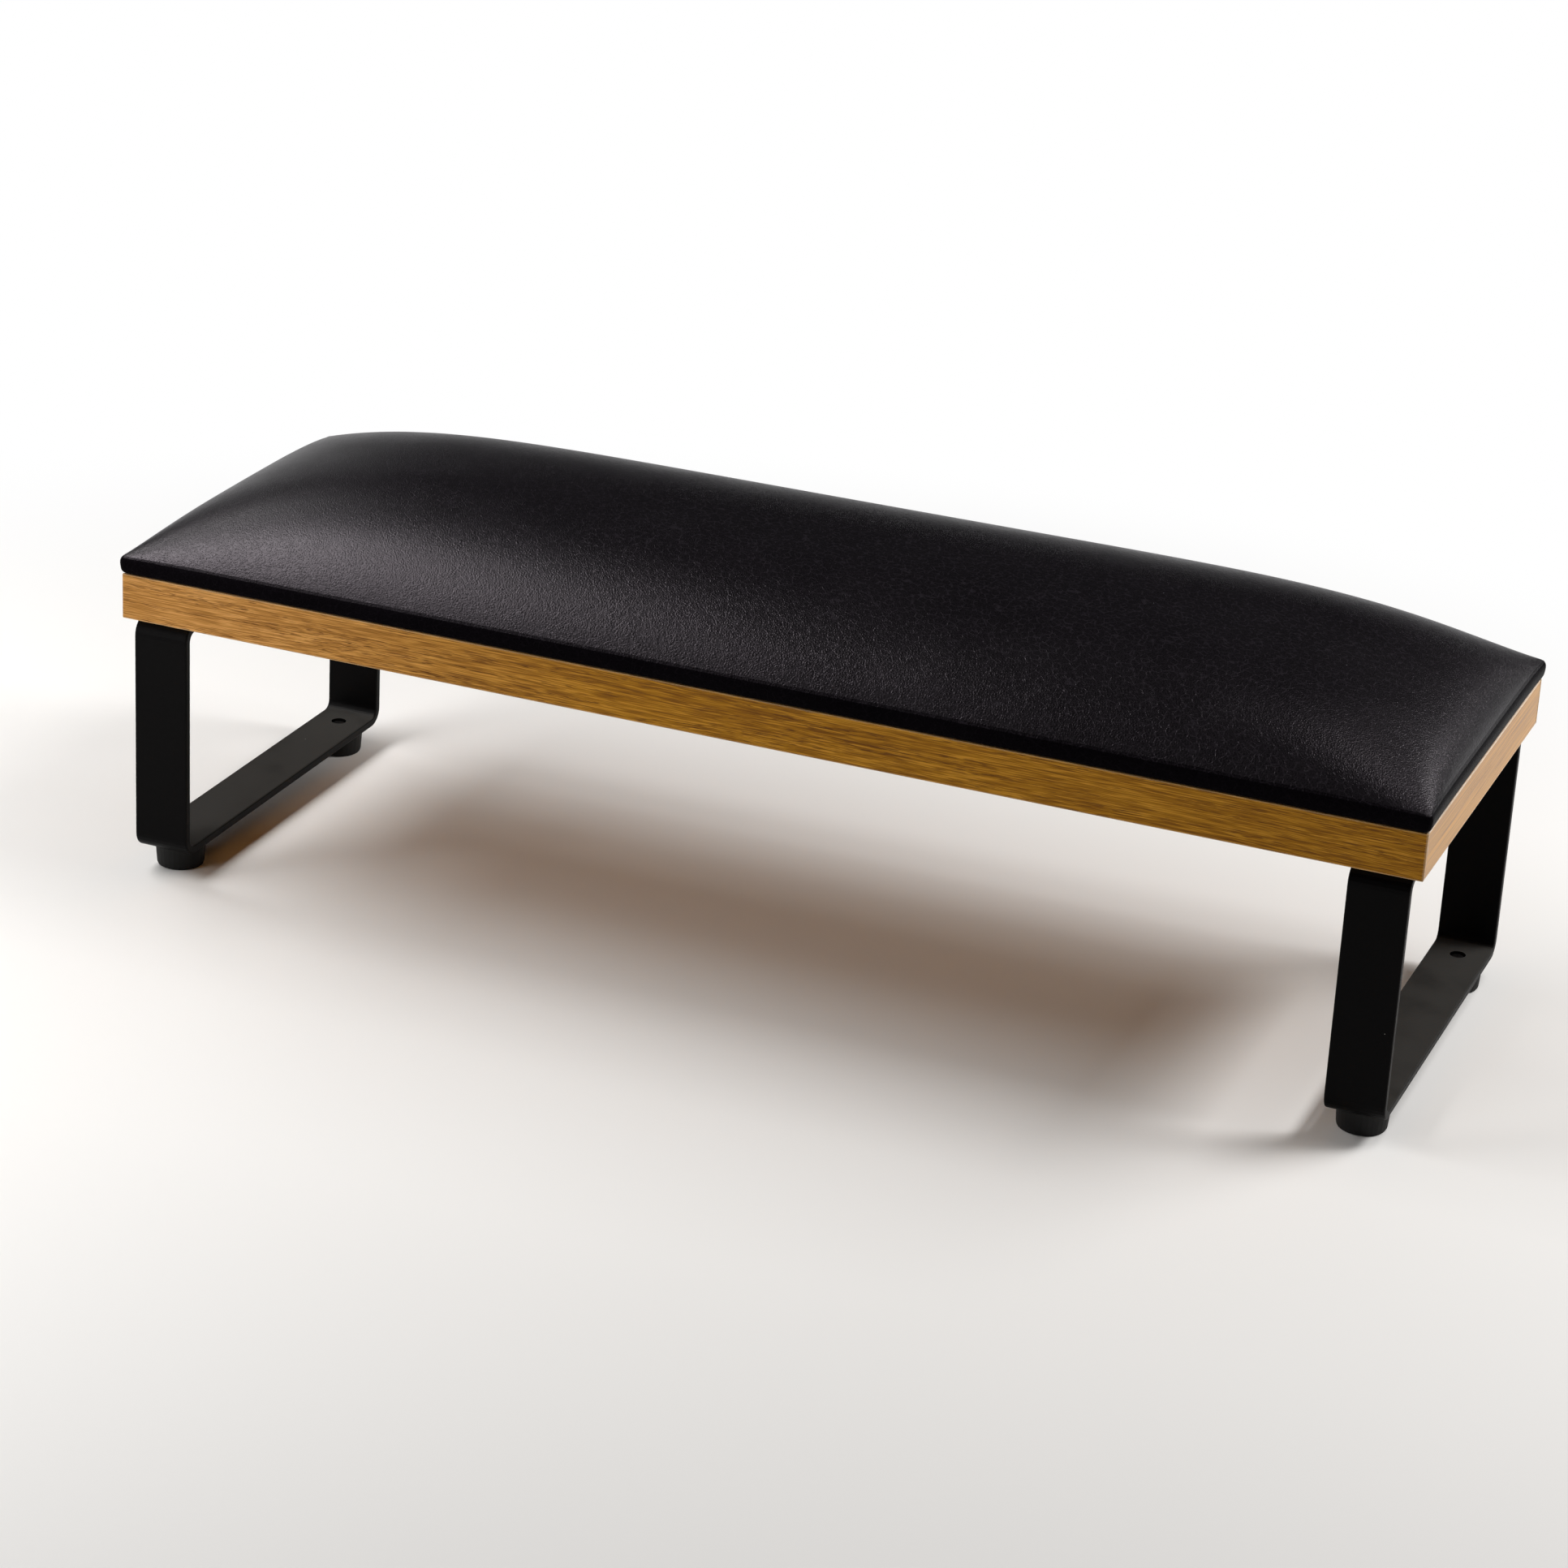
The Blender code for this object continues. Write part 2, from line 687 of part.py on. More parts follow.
def make_base_board(base_board_holes):
    """The hardboard that the foam lies on and the cover is stapled to."""
    length = 2 * (cushion_half_length - base_board_inset)
    width = 2 * (cushion_half_width - base_board_inset)
    corner = cushion_corner_radius - base_board_inset
    mesh = plate_mesh("cushion_board", length, width, base_board_thickness, corner)
    middle_z = base_board_base_z + base_board_thickness / 2 - cover_base_z
    board = add_piece("cushion_board", mesh, cushion_unit, (0.0, 0.0, middle_z), hardboard)
    cut_with(board, base_board_holes)
    return board


def staple_mesh():
    """A wire staple, legs up, as a flat outline extruded by the wire's width."""
    half = staple_width / 2
    inner = half - staple_wire_thickness
    outline = (
        (-half, 0.0),
        (half, 0.0),
        (half, staple_leg),
        (inner, staple_leg),
        (inner, staple_wire_thickness),
        (-inner, staple_wire_thickness),
        (-inner, staple_leg),
        (-half, staple_leg),
    )
    shape = bmesh.new()
    verts = [shape.verts.new((x, -staple_wire_width / 2, z)) for x, z in outline]
    face = shape.faces.new(verts)
    result = bmesh.ops.extrude_face_region(shape, geom=[face])
    moved = [item for item in result["geom"] if isinstance(item, bmesh.types.BMVert)]
    bmesh.ops.translate(shape, verts=moved, vec=(0.0, staple_wire_width, 0.0))
    bmesh.ops.recalc_face_normals(shape, faces=shape.faces)
    return mesh_from("staple", shape)


def staple_places():
    """Places and turns of the staples, in rows along the hem."""
    row_x = cushion_half_length - staple_edge_distance
    row_y = cushion_half_width - staple_edge_distance
    step_x = 2 * row_x * staple_row_share / (staples_per_side - 1)
    step_y = 2 * row_y * staple_end_row_share / (staples_per_end - 1)
    places = []
    for side_name, side in sides:
        for x in evenly_spaced(staples_per_side, step_x):
            places.append((x, side * row_y, 0.0))
    for end_name, end_side in ends:
        for y in evenly_spaced(staples_per_end, step_y):
            places.append((end_side * row_x, y, math.pi / 2))
    return places


def make_staples(hem_slots, base_board_holes):
    """Staples whose crowns lie sunk in the hem, with a slot there and two holes above it."""
    staple = staple_mesh()
    slot_size = (staple_width + 2 * seat_gap, staple_wire_width + 2 * seat_gap)
    slot_height = cover_thickness + 2 * cut_overrun
    slot = box_mesh("hem_slot", *slot_size, slot_height)
    leg_length = staple_wire_thickness + 2 * seat_gap
    crown_z = seat_gap
    leg_top_z = crown_z + staple_leg + seat_gap
    leg_base_z = base_board_base_z - cover_base_z - cut_overrun
    leg_hole = box_mesh("leg_hole", leg_length, slot_size[1], leg_top_z - leg_base_z)
    leg_hole_z = (leg_top_z + leg_base_z) / 2
    reach = (staple_width - staple_wire_thickness) / 2
    for i, (x, y, turn) in enumerate(staple_places()):
        tag = f"{i + 1:02d}"
        place = (x, y, crown_z)
        add_piece("staple_" + tag, staple, cushion_unit, place, plated_steel, rotation_z=turn)
        place = (x, y, cover_thickness / 2)
        add_cutter("hem_slot_" + tag, slot, cushion_unit, place, hem_slots, rotation_z=turn)
        for leg_name, leg in (("a", -1), ("b", 1)):
            leg_x = x + leg * reach * math.cos(turn)
            leg_y = y + leg * reach * math.sin(turn)
            place = (leg_x, leg_y, leg_hole_z)
            name = f"leg_hole_{tag}_{leg_name}"
            add_cutter(name, leg_hole, cushion_unit, place, base_board_holes, rotation_z=turn)


def build():
    board_holes = cutter_group("board_holes")
    base_board_holes = cutter_group("base_board_holes")
    hem_slots = cutter_group("hem_slots")
    core = make_board()
    for end_name in leg_units:
        make_leg(end_name)
    make_feet()
    make_leg_screws(board_holes)
    make_cushion_screws(board_holes, base_board_holes)
    make_staples(hem_slots, base_board_holes)
    make_base_board(base_board_holes)
    make_foam()
    make_cover(hem_slots)
    cut_with(core, board_holes)


build()
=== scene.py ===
"""Manicure hand rest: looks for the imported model.

A crowned faux-leather cushion on an edge-banded oak-look board, on two loops of black flat bar.
Everything is in metres in the model's own frame: X along the board, -Y to the front, +Z up.
"""

import math

import bmesh
import bpy
from mathutils import Matrix, Vector, noise


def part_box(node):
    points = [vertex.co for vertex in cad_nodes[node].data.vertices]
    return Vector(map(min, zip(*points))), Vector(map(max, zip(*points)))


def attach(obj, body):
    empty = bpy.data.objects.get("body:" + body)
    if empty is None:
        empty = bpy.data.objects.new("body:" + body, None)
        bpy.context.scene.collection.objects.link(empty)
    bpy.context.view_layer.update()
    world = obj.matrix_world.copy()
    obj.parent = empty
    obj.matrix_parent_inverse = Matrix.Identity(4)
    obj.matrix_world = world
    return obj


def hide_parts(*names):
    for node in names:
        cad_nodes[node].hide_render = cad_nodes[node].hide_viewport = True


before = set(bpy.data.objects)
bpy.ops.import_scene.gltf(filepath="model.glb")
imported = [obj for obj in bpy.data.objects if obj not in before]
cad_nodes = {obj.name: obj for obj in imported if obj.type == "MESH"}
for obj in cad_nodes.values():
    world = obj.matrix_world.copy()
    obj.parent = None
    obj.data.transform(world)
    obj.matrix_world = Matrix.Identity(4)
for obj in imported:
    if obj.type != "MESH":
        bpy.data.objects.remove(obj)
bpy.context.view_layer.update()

# Photo studio. A pale table top that runs out into white, in a dim room. Five soft boxes face
# straight down, two over its left and three over its right, and a low one lights the rest from the
# left front.
table_half_size = 30.0
table_colour = (0.86, 0.85, 0.835)
table_roughness = 0.5
table_specular = 0.2
table_fade_centre = (0.0, -0.20, 0.0)
table_fade = (0.40, 0.70)
room_colour = (0.95, 0.97, 1.0)
room_strength = 0.02
lamp_colour = (1.0, 0.99, 0.98)

# Each soft box has its place, the point that it faces, its width and depth, and its power.
soft_boxes = {
    "soft_box_left": ((-0.60, -0.25, 0.72), (-0.60, -0.25, 0.0), 0.30, 0.70, 6.9),
    "soft_box_left_back": ((-0.90, 0.375, 0.72), (-0.90, 0.375, 0.0), 0.30, 0.68, 2.4),
    "soft_box_left_low": ((-0.55, -0.55, 0.30), (-0.10, 0.0, 0.10), 0.30, 0.30, 1.1),
    "soft_box_right": ((0.75, 0.45, 0.72), (0.75, 0.45, 0.0), 0.30, 0.63, 8.1),
    "soft_box_right_high": ((1.00, 0.40, 1.10), (1.00, 0.40, 0.0), 0.30, 0.33, 5.1),
    "soft_box_top": ((0.50, 0.10, 1.10), (0.50, 0.10, 0.0), 0.30, 0.33, 3.0),
}


def put_in_scene(name, data):
    item = bpy.data.objects.new(name, data)
    bpy.context.scene.collection.objects.link(item)
    return item


def feed(tree, node, values):
    """Give each named input of a node a plain value or another node's output."""
    for name, value in values.items():
        if isinstance(value, bpy.types.NodeSocket):
            tree.links.new(value, node.inputs[name])
        else:
            node.inputs[name].default_value = value


def add_node(tree, kind, values=None, **settings):
    node = tree.nodes.new(kind)
    for name, setting in settings.items():
        setattr(node, name, setting)
    feed(tree, node, values or {})
    return node


def add_math(tree, operation, first, second, clamp=False):
    values = {0: first, 1: second}
    return add_node(tree, "ShaderNodeMath", values, operation=operation, use_clamp=clamp).outputs[0]


def fade(tree, value, low, high):
    """0 below low, 1 above high, and a soft change between them."""
    values = {"Value": value, "From Min": low, "From Max": high}
    node = add_node(tree, "ShaderNodeMapRange", values, interpolation_type="SMOOTHSTEP")
    return node.outputs["Result"]


def object_place(tree):
    return add_node(tree, "ShaderNodeTexCoord").outputs["Object"]


def new_finish(name):
    """A material with its node tree and its Principled shader."""
    material = bpy.data.materials.new(name)
    material.use_nodes = True
    return material, material.node_tree, material.node_tree.nodes["Principled BSDF"]


def make_table():
    """A laminate top. Past the fade it is plain white, for the camera and in what reflects it."""
    reach = table_half_size
    corners = [(-reach, -reach, 0.0), (reach, -reach, 0.0), (reach, reach, 0.0), (-reach, reach, 0.0)]
    sheet = bpy.data.meshes.new("table_top")
    sheet.from_pydata(corners, [], [(0, 1, 2, 3)])
    table = put_in_scene("table_top", sheet)
    material, tree, laminate = new_finish("table_laminate")
    finish = {
        "Base Color": (*table_colour, 1.0),
        "Roughness": table_roughness,
        "Specular IOR Level": table_specular,
    }
    feed(tree, laminate, finish)
    values = {0: object_place(tree), 1: table_fade_centre}
    away = add_node(tree, "ShaderNodeVectorMath", values, operation="DISTANCE").outputs["Value"]
    ray = add_node(tree, "ShaderNodeLightPath").outputs
    seen = add_math(tree, "ADD", ray["Is Camera Ray"], ray["Is Glossy Ray"])
    seen = add_math(tree, "ADD", seen, ray["Is Transmission Ray"], clamp=True)
    factor = add_math(tree, "MULTIPLY", fade(tree, away, *table_fade), seen)
    white = add_node(tree, "ShaderNodeEmission")
    values = {0: factor, 1: laminate.outputs[0], 2: white.outputs[0]}
    mixed = add_node(tree, "ShaderNodeMixShader", values)
    feed(tree, tree.nodes["Material Output"], {"Surface": mixed.outputs[0]})
    sheet.materials.append(material)


def make_lamp(name, place, target, width, depth, power):
    light = bpy.data.lights.new(name, "AREA")
    light.shape = "RECTANGLE"
    light.size = width
    light.size_y = depth
    light.energy = power
    light.color = lamp_colour
    lamp = put_in_scene(name, light)
    lamp.location = place
    aim = Vector(target) - Vector(place)
    lamp.rotation_euler = aim.to_track_quat("-Z", "Y").to_euler()
    lamp.visible_camera = False


def make_room():
    world = bpy.data.worlds.new("dim_room")
    world.use_nodes = True
    room = {"Color": (*room_colour, 1.0), "Strength": room_strength}
    feed(world.node_tree, world.node_tree.nodes["Background"], room)
    bpy.context.scene.world = world
    bpy.context.scene.view_settings.view_transform = "Standard"


make_table()
for lamp_name, lamp_facts in soft_boxes.items():
    make_lamp(lamp_name, *lamp_facts)
make_room()

# Camera. A short telephoto lens, above and to the right of the rest, as the photo was taken. Its
# place, angles and lens come from fitting the board's and the loops' edges to the picture.
camera_place = Vector((0.489627, -1.300689, 0.631957))
camera_turn = math.radians(21.0943)
camera_tilt = math.radians(-22.6823)
camera_roll = math.radians(3.1952)
camera_sensor_mm = 36.0
camera_lens_mm = 101.371


def make_camera():
    level = Vector((math.cos(camera_turn), math.sin(camera_turn), 0.0))
    ahead = Vector((-math.sin(camera_turn), math.cos(camera_turn), 0.0)) * math.cos(camera_tilt)
    ahead.z = math.sin(camera_tilt)
    upward = level.cross(ahead)
    right = math.cos(camera_roll) * level + math.sin(camera_roll) * upward
    top = math.cos(camera_roll) * upward - math.sin(camera_roll) * level
    turn = Matrix((right, top, -ahead)).transposed()
    lens = bpy.data.cameras.new("camera")
    lens.sensor_width = camera_sensor_mm
    lens.lens = camera_lens_mm
    lens.clip_end = 2 * table_half_size
    camera = put_in_scene("camera", lens)
    camera.matrix_world = Matrix.Translation(camera_place) @ turn.to_4x4()
    bpy.context.scene.camera = camera


make_camera()

# Board. 16 mm particle board faced with an oak decor, with a 1 mm oak-look band glued to each
# edge. The grain runs along the board, and along the end bands on the two ends.
oak_tones = ((0.188, 0.066, 0.001), (0.375, 0.157, 0.002), (0.625, 0.296, 0.024))
# Painted light: the face and the long bands are painted paler toward the board's left end, as if lit
# more there.
oak_painted_light_tones = ((0.320, 0.135, 0.020), (0.52, 0.240, 0.052), (0.72, 0.370, 0.110))
oak_tone_steps = (0.12, 0.5, 0.9)
oak_painted_light_fade = (-0.03, -0.20)
oak_pore = (0.13, 0.042, 0.002)
# Painted highlight: the arrises are painted paler along their edge, the end bands' nearly white.
oak_painted_arris_highlight = (0.60, 0.45, 0.27)
oak_end_painted_arris_highlight = (0.94, 0.92, 0.86)
oak_arris_highlight_mask = {"Radius": 0.0008, "Gain": 13.0, "Breakup": 0.45}
# Painted reflection: the end bands are mixed toward a pale glare colour that stands for the sheen they
# reflect.
oak_painted_glare = (0.86, 0.61, 0.41)
oak_end_painted_glare_share = 0.36
oak_end_stretch = 0.16
oak_roughness = 0.42
oak_roughness_range = 0.12
oak_specular = 0.15
oak_relief_share = 0.25
oak_pore_depth = 0.00004
oak_bands_long = ("edge_band_front", "edge_band_back")
oak_bands_short = ("edge_band_left", "edge_band_right")

# Each layer of the figure has its features per metre along the grain and in the two directions
# across it, then its noise's detail and, for the streaks, its noise's roughness.
oak_sway = ((5.0, 22.0, 22.0), 1.0)
oak_sway_reach = 0.006
oak_broad = ((6.0, 150.0, 150.0), 2.0)
oak_broad_fade = (0.3, 0.7)
oak_broad_share = 0.16
oak_streaks = ((60.0, 2400.0, 2400.0), 2.0, 0.6)
oak_streak_fade = (0.34, 0.66)
oak_streak_share = 0.52
oak_hairs = ((110.0, 4600.0, 4600.0), 1.0)
oak_hair_fade = (0.34, 0.66)
oak_hair_share = 0.32
oak_dashes = ((190.0, 4800.0, 4800.0), 1.0)
oak_dash_fade = (0.56, 0.66)
oak_dash_patches = ((22.0, 420.0, 420.0), 2.0)
oak_dash_patch_fade = (0.34, 0.62)
arris_mottle = (420.0, 3.0)
arris_samples = 4


def new_group(name, inputs, outputs):
    """A shader node group, as its tree, the values that come in and the node that they leave by."""
    group = bpy.data.node_groups.new(name, "ShaderNodeTree")
    for socket, kind in inputs.items():
        group.interface.new_socket(socket, in_out="INPUT", socket_type=kind)
    for socket in outputs:
        group.interface.new_socket(socket, in_out="OUTPUT", socket_type="NodeSocketFloat")
    into = group.nodes.new("NodeGroupInput").outputs
    out_of = group.nodes.new("NodeGroupOutput")
    return group, into, out_of


def use_group(tree, group, values):
    return add_node(tree, "ShaderNodeGroup", values, node_tree=group).outputs


def scaled(tree, value, gain, start=0.0):
    """The value times a gain, added to a start."""
    values = {0: value, 1: gain, 2: start}
    return add_node(tree, "ShaderNodeMath", values, operation="MULTIPLY_ADD").outputs[0]


def stretched(tree, place, scales):
    """The place with each direction scaled by itself, in features per metre."""
    values = {0: place, 1: scales}
    return add_node(tree, "ShaderNodeVectorMath", values, operation="MULTIPLY").outputs[0]


def cloud(tree, place, scale, detail, roughness=0.5):
    """Soft noise. Its scale is in features per metre, alike or with a number for each direction."""
    if isinstance(scale, tuple):
        place = stretched(tree, place, scale)
        scale = 1.0
    values = {"Vector": place, "Scale": scale, "Detail": detail, "Roughness": roughness}
    return add_node(tree, "ShaderNodeTexNoise", values).outputs["Fac"]


def blend_colour(tree, factor, first, second):
    """The first colour where the factor is 0, and the second where it is 1."""
    first, second = [(*paint, 1.0) if isinstance(paint, tuple) else paint for paint in (first, second)]
    return add_node(tree, "ShaderNodeMix", {0: factor, 6: first, 7: second}, data_type="RGBA").outputs[2]


def bumped(tree, shader, height, distance):
    bump = add_node(tree, "ShaderNodeBump", {"Height": height, "Distance": distance})
    feed(tree, shader, {"Normal": bump.outputs[0]})


def make_oak_figure():
    """Oak grain along the group's X: fine straight streaks, bands of tone and short dark pores."""
    group, into, out_of = new_group("oak_figure", {"Place": "NodeSocketVector"}, ("Tone", "Pores"))
    place = into["Place"]
    sway = add_math(group, "SUBTRACT", cloud(group, place, *oak_sway), 0.5)
    sway = add_math(group, "MULTIPLY", sway, oak_sway_reach)
    push = add_node(group, "ShaderNodeCombineXYZ", {"Y": sway, "Z": sway}).outputs[0]
    place = add_node(group, "ShaderNodeVectorMath", {0: place, 1: push}).outputs[0]
    broad = fade(group, cloud(group, place, *oak_broad), *oak_broad_fade)
    streaks = fade(group, cloud(group, place, *oak_streaks), *oak_streak_fade)
    hairs = fade(group, cloud(group, place, *oak_hairs), *oak_hair_fade)
    tone = scaled(group, broad, oak_broad_share)
    tone = scaled(group, streaks, oak_streak_share, tone)
    tone = scaled(group, hairs, oak_hair_share, tone)
    dashes = fade(group, cloud(group, place, *oak_dashes), *oak_dash_fade)
    patches = fade(group, cloud(group, place, *oak_dash_patches), *oak_dash_patch_fade)
    feed(group, out_of, {"Tone": tone, "Pores": add_math(group, "MULTIPLY", dashes, patches)})
    return group


def make_arris_mask():
    """1 on the piece's outer edges and 0 on its flats, broken up by a fine mottle. It places wear and
    painted edge highlights.
    """
    inputs = dict.fromkeys(("Radius", "Gain", "Breakup"), "NodeSocketFloat")
    group, into, out_of = new_group("arris_mask", inputs, ("Mask",))
    soft = add_node(group, "ShaderNodeBevel", {"Radius": into["Radius"]}, samples=arris_samples)
    true = add_node(group, "ShaderNodeNewGeometry").outputs["Normal"]
    values = {0: soft.outputs[0], 1: true}
    same = add_node(group, "ShaderNodeVectorMath", values, operation="DOT_PRODUCT").outputs["Value"]
    bend = add_math(group, "MULTIPLY", add_math(group, "SUBTRACT", 1.0, same), into["Gain"])
    mottle = cloud(group, object_place(group), *arris_mottle)
    mottle = add_math(group, "MULTIPLY", mottle, into["Breakup"])
    feed(group, out_of, {"Mask": add_math(group, "SUBTRACT", bend, mottle, clamp=True)})
    return group


def tinted(tree, tone, tones):
    """Turn a tone into a colour, from the dark one through the middle one to the light one."""
    ramp = add_node(tree, "ShaderNodeValToRGB", {0: tone})
    marks = ramp.color_ramp.elements
    marks.new(oak_tone_steps[1])
    for mark, place, colour in zip(marks, oak_tone_steps, tones):
        mark.position = place
        mark.color = (*colour, 1.0)
    return ramp.outputs[0]


oak_figure = make_oak_figure()
arris_mask = make_arris_mask()


def make_oak(name, across):
    """The oak decor. across turns the grain from the board's length to its width."""
    material, tree, shader = new_finish(name)
    place = object_place(tree)
    parts = add_node(tree, "ShaderNodeSeparateXYZ", {0: place}).outputs
    if across:
        along = add_math(tree, "MULTIPLY", parts["Y"], oak_end_stretch)
        values = {"X": along, "Y": parts["X"], "Z": parts["Z"]}
        place = add_node(tree, "ShaderNodeCombineXYZ", values).outputs[0]
    figure = use_group(tree, oak_figure, {"Place": place})
    colour = tinted(tree, figure["Tone"], oak_tones)
    if not across:
        # Painted light: paler toward the left end.
        pale = fade(tree, parts["X"], *oak_painted_light_fade)
        colour = blend_colour(tree, pale, colour, tinted(tree, figure["Tone"], oak_painted_light_tones))
    colour = blend_colour(tree, figure["Pores"], colour, oak_pore)
    if across:
        # Painted reflection on the end bands.
        colour = blend_colour(tree, oak_end_painted_glare_share, colour, oak_painted_glare)
    # Painted highlight along the arrises.
    arris_share = use_group(tree, arris_mask, oak_arris_highlight_mask)["Mask"]
    colour = blend_colour(tree, arris_share, colour, oak_end_painted_arris_highlight if across else oak_painted_arris_highlight)
    rough = scaled(tree, figure["Tone"], oak_roughness_range, oak_roughness)
    finish = {"Base Color": colour, "Roughness": rough, "Specular IOR Level": oak_specular}
    feed(tree, shader, finish)
    relief = add_math(tree, "MULTIPLY", figure["Tone"], oak_relief_share)
    bumped(tree, shader, add_math(tree, "SUBTRACT", relief, figure["Pores"]), oak_pore_depth)
    return material


def dress(names, material):
    """Give a model's own pieces a finish, in the slots that they have."""
    for name in names:
        for slot in cad_nodes[name].material_slots:
            slot.material = material


dress(("board_core", *oak_bands_long), make_oak("oak_decor_lengthwise", False))
dress(oak_bands_short, make_oak("oak_decor_crosswise", True))

# Legs. Two closed loops of 20 x 3 mm flat steel bar, bent with tight corners, welded and finished
# in a satin black powder coat that is a little orange-peeled. Its upper faces are painted paler, as
# dust and a painted sheen, and its arrises as wear and a painted highlight.
coat_black = (0.0016, 0.0014, 0.0015)
# Wear and painted highlight: the coat's arrises are painted paler.
coat_wear_and_painted_highlight = (0.022, 0.021, 0.020)
coat_arris_wear_and_highlight = {"Radius": 0.0007, "Gain": 6.0, "Breakup": 0.45}
coat_peel = (1500.0, 2.0)
coat_peel_depth = 0.00003
coat_mottle = (60.0, 4.0)
coat_roughness = 0.35
coat_roughness_range = 0.14
coat_specular = 0.05
# Dust and painted sheen: upward faces are painted paler in patches, and the same colour makes the dust
# specks.
coat_dust_and_sheen = (0.30, 0.29, 0.27)
coat_dust_and_sheen_share = 0.12
coat_dust_and_sheen_slopes = (0.6, 1.0)
coat_dust_and_sheen_patches = (-0.3, 0.6)
coat_specks = {"Scale": 190.0, "Size": 0.035}
coat_speck_roughness = 0.4
speck_scarcity = 0.88


def make_dust_specks():
    """Sparse pale specks of dust and lint. Size is in shares of the distance between them."""
    inputs = dict.fromkeys(("Scale", "Size"), "NodeSocketFloat")
    group, into, out_of = new_group("dust_specks", inputs, ("Specks",))
    values = {"Vector": object_place(group), "Scale": into["Scale"]}
    cells = add_node(group, "ShaderNodeTexVoronoi", values).outputs
    near = add_math(group, "LESS_THAN", cells["Distance"], into["Size"])
    pick = add_node(group, "ShaderNodeSeparateColor", {0: cells["Color"]}).outputs[0]
    some = add_math(group, "GREATER_THAN", pick, speck_scarcity)
    feed(group, out_of, {"Specks": add_math(group, "MULTIPLY", near, some)})
    return group


dust_specks = make_dust_specks()


def make_powder_coat():
    material, tree, shader = new_finish("black_powder_coat")
    place = object_place(tree)
    mottle = cloud(tree, place, *coat_mottle)
    # Arrises painted paler, as wear and a painted highlight.
    arris_share = use_group(tree, arris_mask, coat_arris_wear_and_highlight)["Mask"]
    colour = blend_colour(tree, arris_share, coat_black, coat_wear_and_painted_highlight)
    specks = use_group(tree, dust_specks, coat_specks)["Specks"]
    colour = blend_colour(tree, specks, colour, coat_dust_and_sheen)
    # Upward faces painted paler, as dust and a painted sheen.
    facing = add_node(tree, "ShaderNodeNewGeometry").outputs["Normal"]
    upward = add_node(tree, "ShaderNodeSeparateXYZ", {0: facing}).outputs["Z"]
    dust_and_sheen_film = add_math(tree, "MULTIPLY", fade(tree, upward, *coat_dust_and_sheen_slopes), coat_dust_and_sheen_share)
    dust_and_sheen_film = add_math(tree, "MULTIPLY", dust_and_sheen_film, fade(tree, mottle, *coat_dust_and_sheen_patches))
    colour = blend_colour(tree, dust_and_sheen_film, colour, coat_dust_and_sheen)
    rough = scaled(tree, mottle, coat_roughness_range, coat_roughness)
    rough = scaled(tree, specks, coat_speck_roughness, rough)
    finish = {"Base Color": colour, "Roughness": rough, "Specular IOR Level": coat_specular}
    feed(tree, shader, finish)
    bumped(tree, shader, cloud(tree, place, *coat_peel), coat_peel_depth)
    return material


dress(("leg_left", "leg_right"), make_powder_coat())

# Plated fixings. Zinc-plated pan-head screws hold the loops, plated washers sit in the feet, and
# countersunk screws from below hold the cushion. Turned steel, driven with a cross bit.
plating_pale = (0.62, 0.61, 0.58)
plating_dull = (0.42, 0.41, 0.385)
plating_bright = (0.82, 0.81, 0.79)
plating_roughness = 0.28
plating_roughness_range = 0.2
plating_arris_wear = {"Radius": 0.0002, "Gain": 4.0, "Breakup": 0.6}
plating_tarnish = (700.0, 4.0)
plating_tarnish_fade = (0.35, 0.7)
plating_turning = ((900.0, 900.0, 9000.0), 2.0)
plating_turning_depth = 0.00001
leg_ends = ("left", "right")
leg_screws_per_loop = 3
cushion_screw_count = 4
foot_corners = ("front_left", "front_right", "back_left", "back_right")


def make_plating(name, dull, pale, bright, roughness):
    """Plated or blackened steel with turning marks, cloudy tarnish and bright arrises."""
    material, tree, shader = new_finish(name)
    place = object_place(tree)
    tarnish = cloud(tree, place, *plating_tarnish)
    colour = blend_colour(tree, fade(tree, tarnish, *plating_tarnish_fade), pale, dull)
    arris_share = use_group(tree, arris_mask, plating_arris_wear)["Mask"]
    colour = blend_colour(tree, arris_share, colour, bright)
    rough = scaled(tree, tarnish, plating_roughness_range, roughness)
    feed(tree, shader, {"Base Color": colour, "Roughness": rough, "Metallic": 1.0})
    bumped(tree, shader, cloud(tree, place, *plating_turning), plating_turning_depth)
    return material


def numbered(name, count):
    return [f"{name}_{number}" for number in range(1, count + 1)]


zinc_plating = make_plating(
    "zinc_plated_steel", plating_dull, plating_pale, plating_bright, plating_roughness
)
for leg_end in leg_ends:
    dress(numbered(f"leg_screw_{leg_end}", leg_screws_per_loop), zinc_plating)
dress([f"foot_washer_{corner}" for corner in foot_corners], zinc_plating)
dress(numbered("cushion_screw", cushion_screw_count), zinc_plating)

# Feet. Moulded black rubber, tapered, with a small rounded rim below, each screwed up into the
# loop with a blackened machine screw whose end shows in the bar's hole.
rubber_black = (0.0036, 0.0035, 0.0035)
rubber_bloom_grey = (0.010, 0.010, 0.0096)
rubber_bloom = (160.0, 4.0)
rubber_bloom_fade = (0.4, 0.75)
rubber_grain = (2600.0, 2.0)
rubber_grain_depth = 0.00003
rubber_roughness = 0.62
rubber_roughness_range = 0.2
rubber_specular = 0.3
rubber_specks = {"Scale": 420.0, "Size": 0.05}
blacked_dull = (0.022, 0.021, 0.02)
blacked_pale = (0.045, 0.044, 0.043)
blacked_bright = (0.16, 0.155, 0.15)
blacked_roughness = 0.34


